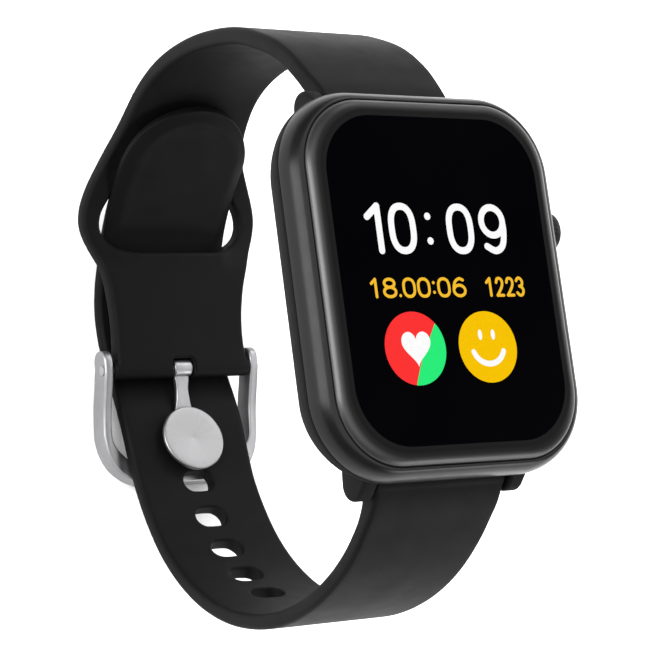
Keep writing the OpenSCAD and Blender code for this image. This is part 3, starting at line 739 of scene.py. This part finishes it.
def make_housing():
    prof = spline([(4.1, 0.0), (3.45, 0.35), (2.9, 0.9), (2.15, 1.8), (1.35, 3.0), (0.68, 4.2), (0.22, 5.3), (0.04, 6.3)], 5)
    rings = [case_ring(10.5, 0.0), case_ring(7.0, 0.0), case_ring(4.5, 0.0), case_ring(4.22, 0.012)]
    rings += [case_ring(e, z) for e, z in prof[1:]]
    rings += [case_ring(0.1, 6.6), case_ring(0.16, 6.66), case_ring(0.25, 6.69), case_ring(0.5, 6.69)]
    cav = lambda w, l, r, z: ring3(rrect(w, l, r, 26, 10), z)
    rings += [cav(34.5, 38.4, 7.5, 6.69), cav(34.5, 38.4, 7.5, 3.2), cav(31.2, 38, 6.7, 2.9), cav(31.2, 38, 6.7, 1.5),
              cav(30.7, 37.5, 6.5, 1.2), cav(20, 26, 3, 1.2)]
    o = raw("rear_housing_shell", *loft(rings), [M["housing"]])
    lugs = []
    for sx in (-1, 1):
        for sy in (-1, 1):
            x0 = 9.8 if sx > 0 else -12.0
            lugs.append(rounded_ext("c_lug", lug_outline(sy), x0, x0 + 2.2, 0.45, [M["housing"]]))
    boolean(o, lugs, "UNION")
    cuts = []
    for sy in (-1, 1):
        cuts.append(xcyl("c_rc", 1.95, -9.8, 9.8, sy * bar_y, bar_z, 64))
        y0, y1 = sorted((sy * (bar_y - 1.95), sy * (bar_y + 3.2)))
        cuts.append(box("c_rb", (-9.8, y0, -1), (9.8, y1, bar_z)))
        y0, y1 = sorted((sy * bar_y, sy * (bar_y + 3.2)))
        cuts.append(box("c_rt", (-9.8, y0, bar_z - 1), (9.8, y1, bar_z + 1.95)))
        cuts.append(xcyl("c_rh", 0.47, -11.3, 11.3, sy * bar_y, bar_z, 24))
    cuts.append(zcyl("c_sw", 7.03, -1, 0.8, 0, 0, 96))
    cuts.append(zcyl("c_sw2", 5.8, -1, 3, 0, 0, 96))
    for sx in (-1, 1):
        cuts.append(zcyl("c_cc", 0.92, -1, 3, sx * 2.6, -12.5, 32))
        for sy in (-1, 1):
            cuts.append(zcyl("c_sh", 1.2, -1, 0.85, sx * 12, sy * 15.6, 32))
    cuts.append(xcyl("c_cb", 1.22, 16, 20, 6.9, 4.9, 40))
    cuts.append(xcyl("c_cr", 2.95, 18.75, 24, 6.9, 4.9, 64))
    boolean(o, cuts)
    finish_mesh(o, 30, MM)
    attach(o, "case")
    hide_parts("rear_housing")
    return o


GW, GL, GR = 34.65, 43.05, 8.33


def make_glass():
    """Cover glass with a polished, curved edge round the flat face."""
    def ring(e, z):
        return ring3(rrect(GW - 2 * e, GL - 2 * e, GR - 0.6 * e, 26, 10), z)
    bev = spline([(0.04, 9.66), (0.16, 9.92), (0.42, 10.2), (0.78, 10.42), (1.15, 10.55), (1.45, 10.595), (1.7, 10.6)], 5)
    prof = [(0.08, 9.02), (0.02, 9.08), (0.0, 9.3), (0.005, 9.55)] + [tuple(p) for p in bev] + \
        [(1.85, 10.6), (2.0, 10.6), (2.1, 10.6), (3.2, 10.6), (9, 10.6)]
    rings = [ring(9, 9.0), ring(0.3, 9.0)] + [ring(e, z) for e, z in prof]
    v, f = loft(rings)
    nring = len(rings[0])
    # faces outside the flat face take the edge material, with its painted reflection
    fm = []
    for i in range(len(rings) - 1):
        mid_e = (prof[i - 1][0] if i >= 2 else 5)
        fm += [1 if 2 <= i and prof[i - 2][0] < 2.05 else 0] * nring
    fm += [0, 0]
    o = raw("cover_glass_plate", v, f, [M["glass"], M["bevel"]], fm)
    outward(o)
    es = [9, 0.3] + [e for e, z in prof]
    # edge mask: 1 at the rim, falling to 0 inwards; it drives the painted reflection of the edge material
    at = o.data.attributes.new("edge", "FLOAT", "POINT")
    at.data.foreach_set("value", np.repeat([max(0.0, 1 - max(e - 0.1, 0) / 1.9) for e in es], nring).astype(np.float32))
    finish_mesh(o, 60, MM)
    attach(o, "case")
    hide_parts("cover_glass")
    return o


# ------------------------------------------------------------ display marks
GZ = 10.612


def flat_piece(name, polys, m, z=GZ, th=0.02):
    """Thin lit plates from lists of 2-D outlines."""
    V, Fc = [], []
    for P in polys:
        P = np.array(P)
        b = len(V)
        n = len(P)
        V += [(x, y, z + th) for x, y in P] + [(x, y, z - 0.004) for x, y in P]
        Fc.append(tuple(b + i for i in range(n)))
        Fc += [(b + n + i, b + n + (i + 1) % n, b + (i + 1) % n, b + i) for i in range(n)]
    o = raw(name, V, Fc, [m])
    outward(o)
    finish_mesh(o, 30, MM)
    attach(o, "case")
    return o


def stroke(pts, hw, closed=False, n=8):
    """A stroke of constant width: a list of quads and round ends as outlines."""
    P = np.array(pts, float)
    if closed:
        Q = spline(np.vstack([P[-1], P, P[0], P[1]]), n)[n:-n]
        k = len(Q)
        t = np.roll(Q, -1, 0) - np.roll(Q, 1, 0)
    else:
        Q = spline(P, n) if len(P) > 2 else P
        k = len(Q)
        t = np.gradient(Q, axis=0)
    t /= np.linalg.norm(t, axis=1)[:, None]
    nr = np.column_stack([-t[:, 1], t[:, 0]])
    if closed:
        return ("ring", Q + nr * hw, Q - nr * hw)
    a = np.arctan2(-t[0][1], -t[0][0])
    cap0 = [Q[0] + hw * np.array([math.cos(a + u), math.sin(a + u)]) for u in np.linspace(math.pi / 2, -math.pi / 2, 9)]
    b = np.arctan2(t[-1][1], t[-1][0])
    cap1 = [Q[-1] + hw * np.array([math.cos(b + u), math.sin(b + u)]) for u in np.linspace(math.pi / 2, -math.pi / 2, 9)]
    # left side forward, end cap, right side back, start cap
    return ("solid", np.array(list(Q + nr * hw) + cap1[1:-1] + list((Q - nr * hw)[::-1]) + cap0[1:-1][::1]))


def glyph(ch, x0, y0, w, h, hw):
    """Generic rounded figures built from strokes."""
    X = lambda u: x0 + hw + (w - 2 * hw) * u
    Y = lambda v: y0 + hw + (h - 2 * hw) * v
    P = lambda L: [(X(u), Y(v)) for u, v in L]
    if ch == "0":
        a = np.linspace(0, 2 * math.pi, 28, endpoint=False)
        return [stroke([(X(0.5 + 0.5 * np.sign(math.cos(t)) * abs(math.cos(t)) ** 0.9),
                         Y(0.5 + 0.5 * np.sign(math.sin(t)) * abs(math.sin(t)) ** 0.72)) for t in a], hw, True, 3)]
    if ch == "1":
        return [stroke(P([(0.0, 0.76), (0.62, 1.0)]), hw), stroke(P([(0.62, 1.0), (0.62, 0.0)]), hw)]
    if ch == "2":
        return [stroke(P([(0.02, 0.76), (0.2, 0.96), (0.5, 1.0), (0.85, 0.93), (0.97, 0.72), (0.8, 0.48), (0.4, 0.22), (0.02, 0.0)]), hw),
                stroke(P([(0.02, 0.0), (1.0, 0.0)]), hw)]
    if ch == "3":
        return [stroke(P([(0.02, 0.85), (0.25, 0.99), (0.6, 1.0), (0.92, 0.84), (0.86, 0.6), (0.45, 0.53)]), hw),
                stroke(P([(0.45, 0.53), (0.9, 0.42), (1.0, 0.22), (0.75, 0.02), (0.35, 0.0), (0.0, 0.14)]), hw)]
    if ch == "6":
        a = np.linspace(0, 2 * math.pi, 24, endpoint=False)
        return [stroke([(X(0.5 + 0.5 * math.cos(t)), Y(0.31 + 0.31 * math.sin(t))) for t in a], hw, True, 3),
                stroke(P([(0.88, 0.92), (0.55, 1.0), (0.18, 0.82), (0.02, 0.5), (0.0, 0.3)]), hw)]
    if ch == "8":
        a = np.linspace(0, 2 * math.pi, 24, endpoint=False)
        return [stroke([(X(0.5 + 0.5 * math.cos(t)), Y(0.27 + 0.27 * math.sin(t))) for t in a], hw, True, 3),
                stroke([(X(0.5 + 0.43 * math.cos(t)), Y(0.77 + 0.23 * math.sin(t))) for t in a], hw, True, 3)]
    if ch == "9":
        a = np.linspace(0, 2 * math.pi, 24, endpoint=False)
        return [stroke([(X(0.5 + 0.5 * math.cos(t)), Y(0.68 + 0.32 * math.sin(t))) for t in a], hw, True, 3),
                stroke(P([(1.0, 0.68), (1.0, 0.42), (0.86, 0.12), (0.52, 0.0), (0.12, 0.1)]), hw)]
    if ch == ":":
        return [dot(X(0.5), Y(0.22), hw * 1.05), dot(X(0.5), Y(0.78), hw * 1.05)]
    if ch == ".":
        return [dot(X(0.5), Y(0.05), hw * 1.0)]
    return []


def dot(x, y, r, n=28):
    a = np.linspace(0, 2 * math.pi, n, endpoint=False)
    return ("solid", np.column_stack([x + r * np.cos(a), y + r * np.sin(a)]))


def marks(name, shapes, m, z=GZ):
    """Joins strokes into one lit piece, cut free of each other's overlaps by a small step in height."""
    V, Fc = [], []
    for k, sh in enumerate(shapes):
        zz, zb = z + 0.012 + 0.0012 * (k % 5), z - 0.004
        b = len(V)
        if sh[0] == "solid":
            P = sh[1]
            n = len(P)
            V += [(x, y, zz) for x, y in P] + [(x, y, zb) for x, y in P]
            Fc += [tuple(b + i for i in range(n)), tuple(b + n + i for i in range(n - 1, -1, -1))]
            Fc += [(b + n + i, b + n + (i + 1) % n, b + (i + 1) % n, b + i) for i in range(n)]
        else:
            A, B = sh[1], sh[2]
            n = len(A)
            V += [(x, y, zz) for x, y in A] + [(x, y, zz) for x, y in B] + [(x, y, zb) for x, y in B] + [(x, y, zb) for x, y in A]
            for i in range(n):
                j = (i + 1) % n
                for p in range(4):
                    q = (p + 1) % 4
                    Fc.append((b + p * n + i, b + p * n + j, b + q * n + j, b + q * n + i))
    o = raw(name, V, Fc, [m])
    outward(o)
    finish_mesh(o, 30, MM)
    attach(o, "case")
    return o


def row(text, cells, y0, h, hw):
    out = []
    for ch, (x0, w) in zip(text, cells):
        out += glyph(ch, x0, y0, w, h, hw)
    return out


def circle(cx, cy, r, n=72, a0=0.0, a1=2 * math.pi):
    a = np.linspace(a0, a1, n, endpoint=abs(a1 - a0) < 6.28)
    return np.column_stack([cx + r * np.cos(a), cy + r * np.sin(a)])


def make_display():
    marks("display_time", row("10:09", [(-10.9, 3.3), (-7.6, 3.9), (-3.2, 2.7), (0.75, 3.95), (5.6, 4.0)], 2.9, 6.1, 0.42), M["lit_white"])
    marks("display_count", row("18.00:06", [(-11.3, 1.3), (-9.6, 2.0), (-7.5, 0.6), (-6.8, 1.9), (-4.7, 1.9), (-2.7, 0.8),
                                           (-1.8, 1.9), (0.4, 2.0)], -2.25, 2.4, 0.18)
          + row("1223", [(5.3, 1.2), (6.75, 1.3), (8.3, 1.3), (9.8, 1.3)], -2.25, 2.4, 0.18), M["lit_amber"])
    # heart icon: red disc, green part, white heart
    cx, cy, r = -6.1, -8.15, 4.3
    a0, a1 = math.radians(42), math.radians(-97)
    flat_piece("display_icon_red", [circle(cx, cy, r)], M["lit_red"])
    arc = circle(cx, cy, r, 40, a0, a1)
    inner = spline([arc[-1], (-5.6, -9.9), (-4.3, -7.6), arc[0]], 8)
    flat_piece("display_icon_green", [np.vstack([arc, inner[1:-1]])], M["lit_green"], GZ + 0.012)
    t = np.linspace(0, 2 * math.pi, 60, endpoint=False)
    hx, hy = 16 * np.sin(t) ** 3, 13 * np.cos(t) - 5 * np.cos(2 * t) - 2 * np.cos(3 * t) - np.cos(4 * t)
    flat_piece("display_heart", [np.column_stack([cx + 0.15 + hx * 0.128, cy + 0.25 + hy * 0.142])], M["lit_white"], GZ + 0.024)
    # round yellow icon with a plain smile
    cx, cy = 4.4, -8.2
    flat_piece("display_icon_yellow", [circle(cx, cy, 4.25)], M["lit_yellow"])
    eye = lambda ex: np.column_stack([ex + 0.3 * np.cos(t), cy + 1.45 + 0.62 * np.sin(t)])
    a = np.radians(np.linspace(200, 340, 9))
    sm = stroke(np.column_stack([cx + 2.35 * np.cos(a), cy + 0.2 + 2.2 * np.sin(a)]), 0.34)
    marks("display_smile", [("solid", eye(cx - 0.95)), ("solid", eye(cx + 0.95)), sm], M["lit_white"], GZ + 0.014)


# -------------------------------------------------------------------- crown
def make_crown():
    x0, x1 = 19.2, 21.75
    prof = [(0.0, x0), (2.3, x0), (2.55, x0 + 0.06), (2.68, x0 + 0.2), (2.7, x0 + 0.35), (2.7, x0 + 0.6), (2.7, x0 + 0.85),
            (2.7, x0 + 1.0), (2.67, x0 + 1.12)]
    for k in range(1, 15):
        a = math.pi / 2 * k / 14
        prof.append((2.63 * math.cos(a) ** 0.9, x0 + 1.2 + (x1 - x0 - 1.2) * math.sin(a)))

    def rad(a, r, h):
        d = 0.06 * smooth01((h - (x0 + 0.2)) / 0.2) * (1 - smooth01((h - (x0 + 0.95)) / 0.25))
        return r - d * (0.5 + 0.5 * np.cos(30 * a)) ** 2 * (r > 2)
    prof[0] = (0.001, x0)
    prof[-1] = (0.001, x1)
    v, f = lathe(prof, 360, "x", (0, 6.9, 4.9), rad)
    o = raw("crown_dome", v, f, [M["crown"]])
    outward(o)
    finish_mesh(o, 40, MM)
    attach(o, "crown")
    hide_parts("crown_knob")


# ------------------------------------------------------------- buckle frame
frame_pts = [(4, -52.4), (1.5, -52.45), (-1, -53.2), (-4, -54.2), (-7.5, -54.85), (-10.5, -54.85),
             (-12.6, -54.6), (-13.9, -54.4)]
BF = Path(frame_pts)


def bevel_section(bw, bh, bev, n=5):
    """A rectangle with rounded corners, counter-clockwise, as (across, up)."""
    out = []
    for k, (sx, sz) in enumerate(((1, 1), (-1, 1), (-1, -1), (1, -1))):
        for t in np.linspace(0, math.pi / 2, n):
            a = t + k * math.pi / 2
            out.append((sx * (bw - bev) + bev * math.cos(a), sz * (bh - bev) + bev * math.sin(a)))
    return np.array(out)


def make_buckle():
    """Two flat arms and the bar across, one piece of steel with softly broken edges."""
    xa, vr = 11.6, 6.2
    v_end = float(np.interp(13.25, -BF.p[:, 0], BF.s))
    pts = [(-xa, v) for v in np.concatenate([[0.0, 0.06, 0.16, 0.32, 0.55, 0.85, 1.2, 1.6], np.linspace(2.0, v_end - vr, 34)])]
    for a in np.linspace(0, math.pi / 2, 26)[1:]:
        pts.append((-xa + vr - vr * math.cos(a), v_end - vr + vr * math.sin(a)))
    for x in np.linspace(-xa + vr, 0, 24)[1:]:
        pts.append((x, v_end))
    pts += [(-x, v) for x, v in pts[-2::-1]]
    P = np.array(pts)
    seg = np.concatenate([[0], np.cumsum(np.linalg.norm(np.diff(P, axis=0), axis=1))])
    tg = np.gradient(P, axis=0)
    tg /= np.linalg.norm(tg, axis=1)[:, None]
    nr = np.column_stack([tg[:, 1], -tg[:, 0]])
    total = seg[-1]
    rings = []
    for k in range(len(P)):
        d = min(seg[k], total - seg[k])
        # the bar across is wider in plan and lower than the arms
        far = smooth01((P[k][1] - (v_end - 5.2)) / 4.3)
        bw, bh = 0.66 + 0.64 * far, 1.64 - 0.5 * far
        end = math.sqrt(max(1 - (1 - min(d / 1.64, 1)) ** 2, 0.0))
        sec = bevel_section(bw, bh, 0.34)
        sec = sec * np.array([1.0 - 0.35 * (1 - end) ** 2, max(end, 0.04)])
        x = P[k][0] + nr[k][0] * sec[:, 0]
        v = P[k][1] + nr[k][1] * sec[:, 0]
        rings.append(BF.place(x, v, -sec[:, 1]))
    o = raw("buckle_frame_bar", *loft(rings), [M["polished"]])
    boolean(o, [xcyl("c_bb", 0.69, -20, 20, clasp_y, clasp_z, 40)])
    finish_mesh(o, 30, MM)
    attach(o, "buckle")
    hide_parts("buckle_frame")


LIE = math.radians(13)
seat = (-8.95, clasp_z + 0.32)


def on_seat(a, b):
    return (seat[0] + a * math.cos(LIE) + b * math.sin(LIE), seat[1] - a * math.sin(LIE) + b * math.cos(LIE))


def make_tongue():
    z0 = clasp_z
    # side line of the arm, from the knuckle to the disc
    T = Path([(clasp_y - 0.2, z0 - 0.25), (0.2, z0 - 0.2), (-0.7, z0 - 0.22), (-2.1, z0 - 0.42), on_seat(4.6, 0.24),
              on_seat(2.5, 0.22), on_seat(0, 0.22)])
    wid = spline([(0, 1.15), (0.9, 1.12), (1.6, 1.02), (2.6, 0.92), (3.6, 0.98), (4.8, 1.15), (6.2, 1.6), (7.6, 2.1), (10.5, 2.1)], 6)
    st = np.linspace(0, T.len, 52)
    rings = strap_rings(T, st, lambda s: float(np.interp(s, wid[:, 0], wid[:, 1])),
                        lambda s: 0.38 - 0.17 * smooth01((s - 4) / 2), None, 0.17, 10, 4)
    o = raw("tongue_arm", *loft(rings), [M["polished"]])
    a = np.linspace(0, 2 * math.pi, 64, endpoint=False)
    kn = []
    for x, r in ((-1.42, 0.9), (-1.4, 1.0), (-1.34, 1.08), (-1.24, 1.13), (-1.1, 1.15), (1.1, 1.15), (1.24, 1.13), (1.34, 1.08), (1.4, 1.0), (1.42, 0.9)):
        kn.append(np.column_stack([np.full(64, x), clasp_y + r * np.cos(a), z0 + r * np.sin(a)]))
    boolean(o, [raw("c_kn", *loft(kn), [M["polished"]])], "UNION")
    boolean(o, [xcyl("c_tb", 0.69, -4, 4, clasp_y, z0, 40)])
    finish_mesh(o, 30, MM)
    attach(o, "tongue")
    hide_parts("tongue")
    # the disc: shallow cone, soft rim, thick edge, with its peg behind
    b = 0.47
    prof = [(0.001, -2.75), (0.7, -2.75), (0.92, -2.68), (1.05, -2.5), (1.05, -0.03), (0.58, -0.03), (0.58, b), (4.15, b),
            (4.4, b + 0.04), (4.55, b + 0.14), (4.6, b + 0.3), (4.6, b + 0.52), (4.57, b + 0.63), (4.5, b + 0.71), (4.4, b + 0.755),
            (4.25, b + 0.77), (3.2, b + 0.725), (2.2, b + 0.68), (1.2, b + 0.64), (0.5, b + 0.60), (0.15, b + 0.57), (0.001, b + 0.55)]
    v, f = lathe(prof, 144, "z")
    d = raw("tongue_disc", v, f, [M["disc"]])
    outward(d)
    finish_mesh(d, 30, MM)
    rot = Matrix.Rotation(-LIE, 4, "X")
    d.matrix_world = Matrix.Translation((0, seat[0] * MM, seat[1] * MM)) @ rot
    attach(d, "tongue")
    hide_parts("tongue_stud")


# ------------------------------------------------- materials for CAD pieces
cad_mats = {"glass_gasket": "seal", "display_panel": "panel", "display_flex": "flex", "inner_frame": "plastic",
            "battery": "battery", "main_board": "pcb", "board_shield": "steel", "board_chips": "chip",
            "antenna_flex": "flex", "sensor_window": "panel", "sensor_barrier": "chip", "sensor_leds": "led",
            "sensor_board": "pcb", "charging_contacts": "gold", "charging_magnets": "magnet",
            "housing_gasket": "red_seal", "case_screws": "steel", "vibration_can": "steel",
            "vibration_shaft": "steel", "vibration_rotor": "tungsten", "crown_bush": "gold", "crown_seal": "seal",
            "crown_switch": "chip", "switch_plunger": "steel", "crown_stem": "steel", "crown_clip": "steel",
            "upper_bar_tube": "steel", "upper_release_pin": "steel", "upper_bar_spring": "steel",
            "lower_bar_tube": "steel", "lower_release_pin": "steel", "lower_bar_spring": "steel",
            "buckle_bar": "steel"}
for node, key in cad_mats.items():
    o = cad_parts[node]
    o.data.materials.clear()
    o.data.materials.append(M[key])

def make_spring(node, sy, body):
    """The coil behind the quick-release pin."""
    turns, per, rr, w = 7, 24, 0.34, 0.09
    rings = []
    for i in range(turns * per + 1):
        a = 2 * math.pi * i / per
        b = np.linspace(0, 2 * math.pi, 9)[:-1]
        rings.append(np.column_stack([-5.35 + 5.2 * i / (turns * per) + w * np.sin(b),
                                      sy * bar_y + (rr + w * np.cos(b)) * math.cos(a),
                                      bar_z + (rr + w * np.cos(b)) * math.sin(a)]))
    o = raw(node + "_coil", *loft(rings), [M["steel"]])
    finish_mesh(o, 60, MM)
    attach(o, body)
    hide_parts(node)
    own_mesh(o)


make_spring("upper_bar_spring", 1, "strap")
make_spring("lower_bar_spring", -1, "case")
make_upper()
make_lower()
make_frame()
make_housing()
make_glass()
make_display()
make_crown()
make_buckle()
make_tongue()


# ------------------------------------------------------- floor and lighting
low = cad_box[0][2]
fm, nt, b = mat("studio_floor")
n1 = noise(nt, 3.0, 2.0)
r = ramp(nt, n1.outputs[0], [(0.4, grey(0.93)), (0.6, grey(0.95))])
nt.links.new(r.outputs[0], b.inputs["Base Color"])
b.inputs["Roughness"].default_value = 0.9
me = bpy.data.meshes.new("floor")
S = 3.0
me.from_pydata([(-S, -S, low), (S, -S, low), (S, S, low), (-S, S, low)], [], [(0, 1, 2, 3)])
me.materials.append(fm)
floor = bpy.data.objects.new("floor", me)
scene.collection.objects.link(floor)

world = bpy.data.worlds.new("studio")
scene.world = world
world.use_nodes = True
bg = world.node_tree.nodes["Background"]
bg.inputs[0].default_value = (1, 1, 1, 1)
bg.inputs[1].default_value = 0.28


def area(name, loc, target, size, power, size_y=None):
    d = bpy.data.lights.new(name, "AREA")
    d.energy = power
    d.size = size
    if size_y:
        d.shape = "RECTANGLE"
        d.size_y = size_y
    o = bpy.data.objects.new(name, d)
    o.location = loc
    o.rotation_mode = "QUATERNION"
    o.rotation_quaternion = (Vector(target) - Vector(loc)).to_track_quat("-Z", "Y")
    scene.collection.objects.link(o)
    return o


c0 = (0, 0, -0.01)
area("key_left", (-0.55, 0.10, 0.24), c0, 0.26, 6.0, 0.5)
area("top_soft", (0.36, 0.52, 0.30), c0, 0.4, 2.4, 0.25)
area("right_soft", (0.58, 0.10, 0.18), c0, 0.3, 1.6, 0.3)
area("low_soft", (0.40, -0.56, 0.16), c0, 0.35, 2.4, 0.22)
area("overhead", (0.0, 0.0, 1.0), c0, 1.9, 36.0)
